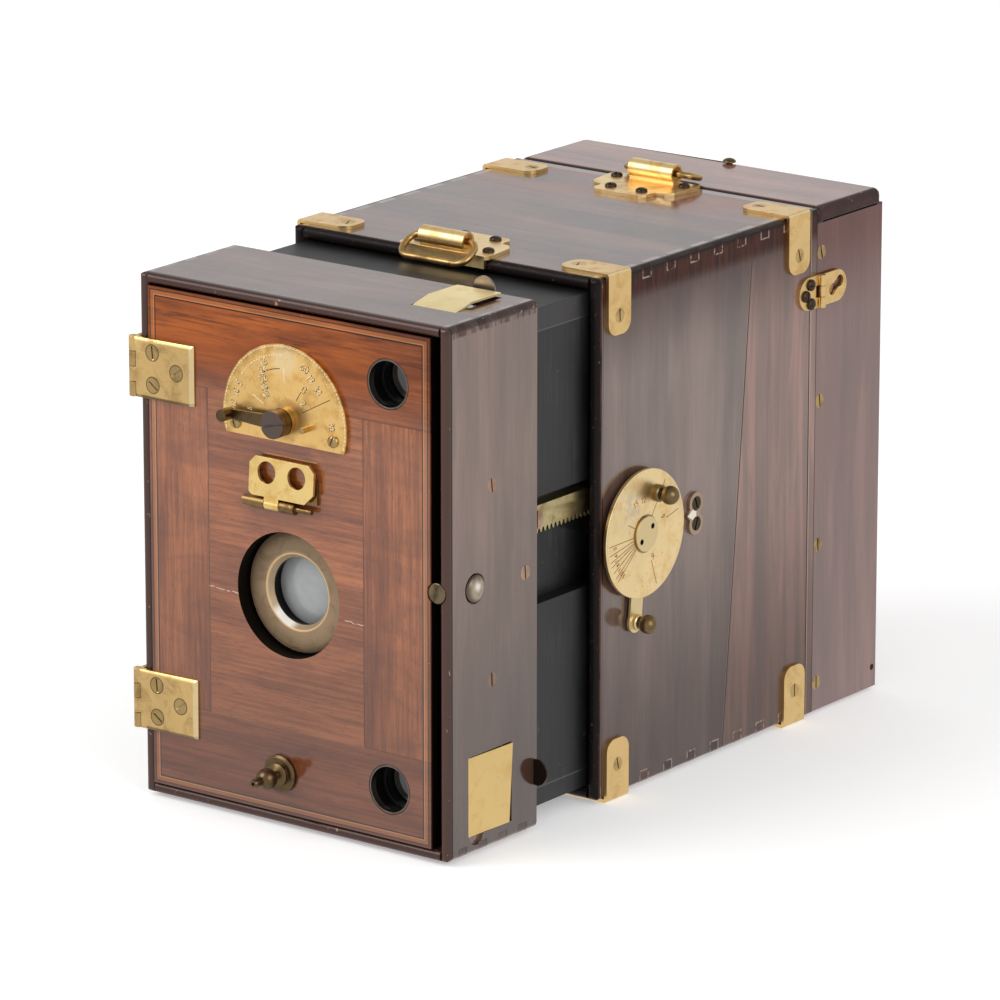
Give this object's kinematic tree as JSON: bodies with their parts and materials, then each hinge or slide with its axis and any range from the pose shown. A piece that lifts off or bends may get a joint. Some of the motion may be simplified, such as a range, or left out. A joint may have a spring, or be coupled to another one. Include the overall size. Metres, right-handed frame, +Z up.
{
  "type": "wooden detective box camera",
  "caption": "Wooden box camera with brass corner brackets: a front box with a hinged lens door racks out on a black tube, and a rear box for plate holders swings open on a hasp.",
  "frame": {"origin": "mouth of the tripod bush, in the middle of the main case's underside, level with what the camera stands on", "axes": "+Z up, +Y from the lens door to the rear box, +X to the side that carries the focusing dial"},
  "size_m": [0.1602, 0.2919, 0.2106],
  "materials": {
    "mahogany": "worn french polish",
    "door_mahogany": "worn french polish",
    "black_wood": "matt black paint",
    "brass": "aged lacquer",
    "steel": "dull and oxidised",
    "nickel": "polished nickel",
    "lens_glass": "polished, slightly hazy",
    "silvered_glass": "silvered",
    "vulcanite": "matt"
  },
  "bodies": {
    "main_case": {"case_left": "mahogany", "case_right": "mahogany", "case_top": "mahogany", "case_bottom": "mahogany", "plate_frame": "mahogany", "corner_brackets": "brass", "case_screws": "steel", "strap_lugs": "brass", "dial_index": "steel", "pinion_bush": "brass", "hasp_plate": "brass", "tripod_plate": "brass", "back_hinge_fixed": "brass"},
    "front_carriage": {"front_left": "mahogany", "front_right": "mahogany", "front_top": "mahogany", "front_bottom": "mahogany", "focus_tube": "black_wood", "focus_rack": "brass", "finder_boxes": "black_wood", "finder_glass": "lens_glass", "finder_mirrors": "silvered_glass", "finder_tabs": "nickel", "carriage_screws": "steel", "door_hinge_fixed": "brass"},
    "front_door": {"door_frame": "door_mahogany", "door_panel": "door_mahogany", "door_hinge_leaves": "brass", "door_screws": "steel", "speed_dial": "brass", "finder_rims": "nickel", "air_nipple": "brass", "lens_mount": "brass", "lens_glasses": "lens_glass", "leaf_hinge_base": "brass", "door_stud": "steel", "shutter_board": "black_wood", "air_cylinder": "brass"},
    "speed_lever": {"speed_lever": "steel"},
    "two_hole_leaf": {"two_hole_leaf": "brass"},
    "top_finder_cover": {"top_finder_cover": "brass"},
    "side_finder_cover": {"side_finder_cover": "brass"},
    "release_button": {"release_button": "nickel"},
    "focus_dial": {"focus_dial": "brass", "dial_fittings": "brass", "focus_pinion": "brass"},
    "clamp_lever": {"clamp_lever": "brass"},
    "front_ring": {"front_ring": "steel"},
    "rear_ring": {"rear_ring": "steel"},
    "hasp_leaf": {"hasp_leaf": "brass"},
    "shutter_disc": {"shutter_disc": "vulcanite"},
    "air_piston": {"air_piston": "steel"},
    "rear_box": {"back_sides": "mahogany", "back_top": "mahogany", "back_bottom": "mahogany", "back_screws": "steel", "back_hinge_leaves": "brass", "plate_holders": "black_wood"},
    "rear_door": {"rear_door": "mahogany"},
    "rear_catch_pin": {"rear_catch_pin": "steel"}
  },
  "joints": [
    {"name": "focus_slide", "type": "slide", "parent": "main_case", "child": "front_carriage", "axis": [0, 1, 0], "range_m": [-0.006, 0.027]},
    {"name": "focus_turn", "type": "hinge", "parent": "main_case", "child": "focus_dial", "pos_m": [0.0715, -0.0444, 0.1006], "axis": [1, 0, 0], "range_deg": [-140, 32]},
    {"name": "clamp_turn", "type": "hinge", "parent": "main_case", "child": "clamp_lever", "pos_m": [0.0715, -0.0444, 0.1006], "axis": [1, 0, 0], "range_deg": [-25, 45]},
    {"name": "front_door_swing", "type": "hinge", "parent": "front_carriage", "child": "front_door", "pos_m": [-0.0732, -0.1603, 0.1], "axis": [0, 0, 1], "range_deg": [-160, 0]},
    {"name": "speed_turn", "type": "hinge", "parent": "front_door", "child": "speed_lever", "pos_m": [-0.0018, -0.163, 0.1563], "axis": [0, 1, 0], "range_deg": [0, 150]},
    {"name": "two_hole_leaf_fold", "type": "hinge", "parent": "front_door", "child": "two_hole_leaf", "pos_m": [-0.002, -0.1618, 0.1242], "axis": [1, 0, 0], "range_deg": [0, 150]},
    {"name": "top_cover_lift", "type": "hinge", "parent": "front_carriage", "child": "top_finder_cover", "pos_m": [0.0486, -0.1369, 0.2004], "axis": [1, 0, 0], "range_deg": [0, 95]},
    {"name": "side_cover_swing", "type": "hinge", "parent": "front_carriage", "child": "side_finder_cover", "pos_m": [0.0703, -0.1459, 0.0234], "axis": [0, 0, -1], "range_deg": [0, 100]},
    {"name": "release_press", "type": "slide", "parent": "front_carriage", "child": "release_button", "axis": [-1, 0, 0], "range_m": [0, 0.002], "stiffness_N_per_m": 400, "springref_m": -0.002},
    {"name": "front_ring_swing", "type": "hinge", "parent": "main_case", "child": "front_ring", "pos_m": [0.0005, -0.0679, 0.2069], "axis": [-1, 0, 0], "range_deg": [0, 200]},
    {"name": "rear_ring_swing", "type": "hinge", "parent": "main_case", "child": "rear_ring", "pos_m": [-0.0028, 0.0686, 0.2069], "axis": [1, 0, 0], "range_deg": [0, 180]},
    {"name": "hasp_swing", "type": "hinge", "parent": "main_case", "child": "hasp_leaf", "pos_m": [0.0734, 0.0724, 0.1698], "axis": [0, 0, -1], "range_deg": [0, 150]},
    {"name": "rear_box_swing", "type": "hinge", "parent": "main_case", "child": "rear_box", "pos_m": [-0.0737, 0.07175, 0.1], "axis": [0, 0, 1], "range_deg": [0, 95]},
    {"name": "rear_door_fall", "type": "hinge", "parent": "rear_box", "child": "rear_door", "pos_m": [0, 0.1132, 0.0094], "axis": [-1, 0, 0], "range_deg": [0, 88]},
    {"name": "rear_catch_lift", "type": "slide", "parent": "rear_box", "child": "rear_catch_pin", "axis": [0, 0, 1], "range_m": [0, 0.003]},
    {"name": "shutter_turn", "type": "hinge", "parent": "front_door", "child": "shutter_disc", "pos_m": [-0.0018, -0.127, 0.122], "axis": [0, 1, 0], "range_deg": [-120, 120]},
    {"name": "air_piston_lift", "type": "slide", "parent": "front_door", "child": "air_piston", "axis": [0, 0, 1], "range_m": [0, 0.01], "stiffness_N_per_m": 30, "springref_m": -0.006}
  ],
  "couplings": [
    {"joint": "focus_turn", "follows": "focus_slide", "rad_per_m": -89.76}
  ]
}
